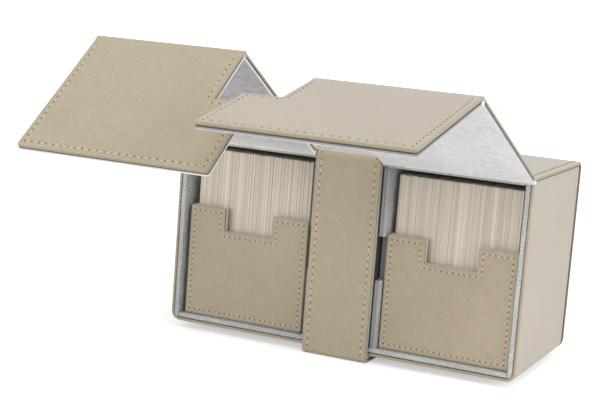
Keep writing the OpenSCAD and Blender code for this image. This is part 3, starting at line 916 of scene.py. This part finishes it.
holder_seam = (2.6 * mm, 0.8 * mm, 0.18 * mm)
face_r, thumb_r = 0.8 * mm, 0.5 * mm
for side in ("left", "right"):
    body = side + "_holder"
    face_low, face_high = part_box(body + "_face")
    (notch_x0, notch_x1), notch_z = levels(body + "_face", 0)[1:3], levels(body + "_face", 2)[1]
    face_corners = [
        (face_low.x, face_low.z, face_r), (face_high.x, face_low.z, face_r),
        (face_high.x, face_high.z, face_r), (notch_x1, face_high.z, face_r),
        (notch_x1, notch_z, thumb_r), (notch_x0, notch_z, thumb_r),
        (notch_x0, face_high.z, face_r), (face_low.x, face_high.z, face_r),
    ]

    def on_face(spot):
        return Vector((spot.x, face_low.y + spot.z, spot.y))

    face_t = face_high.y - face_low.y
    bm = wrapped_board(face_corners, face_t, edge=0.6 * mm, tuck=0.3 * mm, seam=holder_seam)
    spread_sheet(bm)
    lay(bm, on_face)
    piece(body + "_front_leather", bm, tan, body, "leatherette", body + "_face")
    seams[body] = seam_runs(face_corners, holder_seam, on_face)
    bm = softened(body + "_box", 0.35 * mm)
    spread_box_sheet(bm)
    piece(body + "_walls", bm, tan, body, "leatherette", body + "_box")
    bm = softened(body + "_lining", 0.2 * mm)
    piece(body + "_cloth", bm, suede, body, "microfibre", body + "_lining")

# ------------------------------------------------------------------- decks
# A deck is a hundred sleeved cards that stand on a short edge, side by side,
# each a little higher or further forward than the next and with its own tone.


def geometry_tree(name, inputs):
    """An empty Geometry Nodes tree with a mesh in and out, and named inputs: (kind, start)."""
    tree = bpy.data.node_groups.new(name, "GeometryNodeTree")
    tree.interface.new_socket("Geometry", in_out="INPUT", socket_type="NodeSocketGeometry")
    for socket, (kind, start) in inputs.items():
        made = tree.interface.new_socket(socket, in_out="INPUT", socket_type="NodeSocket" + kind)
        if start is not None:
            made.default_value = start
    tree.interface.new_socket("Geometry", in_out="OUTPUT", socket_type="NodeSocketGeometry")
    return tree, tree.nodes.new("NodeGroupInput"), tree.nodes.new("NodeGroupOutput")


def grown(name, base, tree, inputs, body, slot, *stands_for):
    """Runs a Geometry Nodes tree on a base mesh and makes the result a plain piece on a body."""
    made = bpy.data.objects.new(name, base)
    bpy.context.scene.collection.objects.link(made)
    modifier = made.modifiers.new("grow", "NODES")
    modifier.node_group = tree
    items = tree.interface.items_tree
    sockets = {item.name: item.identifier for item in items if item.in_out == "INPUT"}
    for key, value in inputs.items():
        modifier[sockets[key]] = value
    depsgraph = bpy.context.evaluated_depsgraph_get()
    mesh = bpy.data.meshes.new_from_object(
        made.evaluated_get(depsgraph), preserve_all_data_layers=True, depsgraph=depsgraph
    )
    made.modifiers.clear()
    made.data = mesh
    mesh.name = name
    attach(made, body)
    if stands_for:
        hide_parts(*stands_for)


card_n = 100
stagger = 0.35 * mm
deck_tree, given, result = geometry_tree(
    "Deck of cards",
    {
        "Cards": ("Int", card_n), "Thickness": ("Float", 0.66 * mm), "Start": ("Vector", None),
        "Stagger": ("Float", stagger), "Seed": ("Int", 0), "Material": ("Material", None),
    },
)
step = add(deck_tree, "ShaderNodeCombineXYZ", X=given.outputs["Thickness"])
row = add(
    deck_tree, "GeometryNodeMeshLine",
    Count=given.outputs["Cards"], Start_Location=given.outputs["Start"], Offset=step.outputs[0],
)
stood = add(
    deck_tree, "GeometryNodeInstanceOnPoints",
    Points=row.outputs[0], Instance=given.outputs["Geometry"],
)
ahead = add(
    deck_tree, "ShaderNodeMath", {"operation": "MULTIPLY"}, (given.outputs["Stagger"], -1.0)
)
reach = add(deck_tree, "ShaderNodeCombineXYZ", Y=ahead.outputs[0], Z=0.0)
rise = add(deck_tree, "ShaderNodeCombineXYZ", Z=given.outputs["Stagger"])
uneven = add(
    deck_tree, "FunctionNodeRandomValue", {"data_type": "FLOAT_VECTOR"},
    Min=reach.outputs[0], Max=rise.outputs[0], Seed=given.outputs["Seed"],
)
shifted = add(
    deck_tree, "GeometryNodeTranslateInstances",
    Instances=stood.outputs[0], Translation=uneven.outputs[0],
)
shade = add(
    deck_tree, "FunctionNodeRandomValue", {"data_type": "FLOAT"}, Seed=given.outputs["Seed"]
)
toned = add(
    deck_tree, "GeometryNodeStoreNamedAttribute", {"data_type": "FLOAT", "domain": "INSTANCE"},
    Geometry=shifted.outputs[0], Name="tone", Value=shade.outputs[1],
)
real = add(deck_tree, "GeometryNodeRealizeInstances", Geometry=toned.outputs[0])
covered = add(
    deck_tree, "GeometryNodeSetMaterial",
    Geometry=real.outputs[0], Material=given.outputs["Material"],
)
deck_tree.links.new(covered.outputs[0], result.inputs[0])

sleeves, tree, shader = new_material("Sleeved cards")
tone = add(tree, "ShaderNodeAttribute", {"attribute_name": "tone"})
ramp = add(tree, "ShaderNodeValToRGB", Fac=tone.outputs["Fac"])
stops = ramp.color_ramp.elements
stops[0].color = srgb(184, 170, 153)
stops[1].color = srgb(222, 211, 196)
for place_on_ramp, stop_colour in (
    (0.12, (196, 183, 166)), (0.5, (203, 191, 174)), (0.88, (209, 198, 182)),
):
    stops.new(place_on_ramp).color = srgb(*stop_colour)
tree.links.new(ramp.outputs[0], shader.inputs["Base Color"])
shader.inputs["Roughness"].default_value = 0.45

card_r = 0.8 * mm
card_from, card_to = 0.04, 0.96  # shares of a card's pitch, with air at both sides
for side, seed in (("left", 3), ("right", 8)):
    low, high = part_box(side + "_deck")
    pitch = (high.x - low.x) / card_n
    card_corners = [
        (low.y + stagger, low.z, card_r), (high.y, low.z, card_r),
        (high.y, high.z - stagger, card_r), (low.y + stagger, high.z - stagger, card_r),
    ]
    rim = outline(card_corners, (), 0.0, steps=5)
    card = bmesh.new()
    faces = [
        card.faces.new([card.verts.new((share * pitch, *spot)) for spot in rim])
        for share in (card_from, card_to)
    ]
    bmesh.ops.bridge_loops(card, edges=[edge for face in faces for edge in face.edges])
    bmesh.ops.recalc_face_normals(card, faces=card.faces)
    card_mesh = bpy.data.meshes.new("card")
    card.to_mesh(card_mesh)
    card.free()
    grown(
        side + "_deck_cards", card_mesh, deck_tree,
        {
            "Cards": card_n, "Thickness": pitch, "Start": (low.x, 0, 0),
            "Stagger": stagger, "Seed": seed, "Material": sleeves,
        },
        side + "_holder", "cards", side + "_deck",
    )

# ---------------------------------------------------------------- stitches
# Tan thread runs round every wrapped panel in the groove near its edge, and
# dives into a small hole at each end of a stitch, where a dark bead paints the
# hole's shade.

sewing, given, result = geometry_tree(
    "Sewing",
    {
        "Pitch": ("Float", 3.8 * mm), "Stitch": ("Float", 2.7 * mm), "Thread": ("Float", 0.65 * mm),
        "Hole": ("Float", 0.95 * mm), "Height": ("Float", 0.45 * mm),
        "Thread Material": ("Material", None), "Hole Material": ("Material", None),
    },
)
runs = add(sewing, "GeometryNodeMeshToCurve", feed=(given.outputs["Geometry"],))
length = add(sewing, "GeometryNodeSplineLength")
by_pitch = (length.outputs[0], given.outputs["Pitch"])
spaces = add(sewing, "ShaderNodeMath", {"operation": "DIVIDE"}, by_pitch)
whole = add(sewing, "ShaderNodeMath", {"operation": "ROUND"}, (spaces.outputs[0],))
hole_count = add(sewing, "ShaderNodeMath", {"operation": "ADD"}, (whole.outputs[0], 1.0))
spaced = add(
    sewing, "GeometryNodeResampleCurve", {"mode": "COUNT"},
    Curve=runs.outputs[0], Count=hole_count.outputs[0],
)
wire = add(sewing, "GeometryNodeCurveToMesh", Curve=spaced.outputs[0])
ends = add(sewing, "GeometryNodeInputMeshEdgeVertices")
along = add(
    sewing, "ShaderNodeVectorMath", {"operation": "SUBTRACT"},
    (ends.outputs["Position 2"], ends.outputs["Position 1"]),
)
marked = add(
    sewing, "GeometryNodeStoreNamedAttribute", {"data_type": "FLOAT_VECTOR", "domain": "EDGE"},
    Geometry=wire.outputs[0], Name="along", Value=along.outputs[0],
)
vectors = {"data_type": "FLOAT_VECTOR"}
facing = add(sewing, "GeometryNodeInputNamedAttribute", vectors, Name="facing")
direction = add(sewing, "GeometryNodeInputNamedAttribute", vectors, Name="along")
lengthwise = add(
    sewing, "FunctionNodeAlignRotationToVector", {"axis": "X"}, Vector=direction.outputs[0]
)
upright = add(
    sewing, "FunctionNodeAlignRotationToVector", {"axis": "Z", "pivot_axis": "X"},
    Rotation=lengthwise.outputs[0], Vector=facing.outputs[0],
)
face_up = add(sewing, "FunctionNodeAlignRotationToVector", {"axis": "Z"}, Vector=facing.outputs[0])
sewn = []
for mode, rotation, (segments, rings), size, cover in (
    ("EDGES", upright, (8, 6), ("Stitch", "Thread", "Height"), "Thread Material"),
    ("VERTICES", face_up, (8, 4), ("Hole", "Hole", "Height"), "Hole Material"),
):
    spots = add(sewing, "GeometryNodeMeshToPoints", {"mode": mode}, Mesh=marked.outputs[0])
    bead = add(sewing, "GeometryNodeMeshUVSphere", Segments=segments, Rings=rings, Radius=0.5)
    scale = add(sewing, "ShaderNodeCombineXYZ", feed=[given.outputs[name] for name in size])
    set_in = add(
        sewing, "GeometryNodeInstanceOnPoints",
        Points=spots.outputs[0], Instance=bead.outputs[0], Rotation=rotation.outputs[0],
        Scale=scale.outputs[0],
    )
    real = add(sewing, "GeometryNodeRealizeInstances", Geometry=set_in.outputs[0])
    covered = add(
        sewing, "GeometryNodeSetMaterial",
        Geometry=real.outputs[0], Material=given.outputs[cover],
    )
    sewn.append(covered.outputs[0])
joined = add(sewing, "GeometryNodeJoinGeometry")
for made in sewn:
    sewing.links.new(made, joined.inputs[0])
smooth = add(sewing, "GeometryNodeSetShadeSmooth", Geometry=joined.outputs[0])
sewing.links.new(smooth.outputs[0], result.inputs[0])

thread = two_tone(
    "Tan thread", srgb(188, 173, 146), srgb(206, 192, 166),
    patch=120.0, mottle=2000.0, share=0.5, roughness=0.8,
)
# The holes' dark colour is painted shade.
hole = two_tone(
    "Stitch hole shade", srgb(74, 62, 42), srgb(92, 77, 52),
    patch=120.0, mottle=2000.0, share=0.5, roughness=0.8,
)
# By body, in mm: heavier on the cover, closer on the holders
stitch_sizes = {
    "case": {"Pitch": 3.8, "Stitch": 2.7, "Thread": 0.8, "Hole": 1.3, "Height": 0.65},
    "holder": {"Pitch": 3.1, "Stitch": 2.1, "Thread": 0.65, "Hole": 0.95, "Height": 0.45},
    "other": {"Pitch": 3.8, "Stitch": 2.7, "Thread": 0.65, "Hole": 0.95, "Height": 0.45},
}
for body, body_runs in seams.items():
    spots = [spot for run in body_runs for spot in run]
    edges = []
    start = 0
    for run in body_runs:
        edges += [(start + i, start + i + 1) for i in range(len(run) - 1)]
        start += len(run)
    base = bpy.data.meshes.new(body + "_seams")
    base.from_pydata([spot for spot, face in spots], edges, [])
    attribute = base.attributes.new("facing", "FLOAT_VECTOR", "POINT")
    attribute.data.foreach_set("vector", [value for spot, face in spots for value in face])
    sizes = stitch_sizes.get(body.split("_")[-1], stitch_sizes["other"])
    inputs = {name: size * mm for name, size in sizes.items()}
    inputs |= {"Thread Material": thread, "Hole Material": hole}
    grown(body + "_stitches", base, sewing, inputs, body, "leatherette")

# ----------------------------------------------------------------- magnets
# Flat steel-cased discs in the flaps, the foot and the bottom board keep the
# box shut. They lie in pockets in the greyboard.

steel = two_tone(
    "Magnet steel", srgb(150, 151, 154), srgb(190, 191, 194),
    patch=80.0, mottle=1500.0, share=0.7, roughness=0.35, metallic=1.0,
)
coat("magnet", steel)
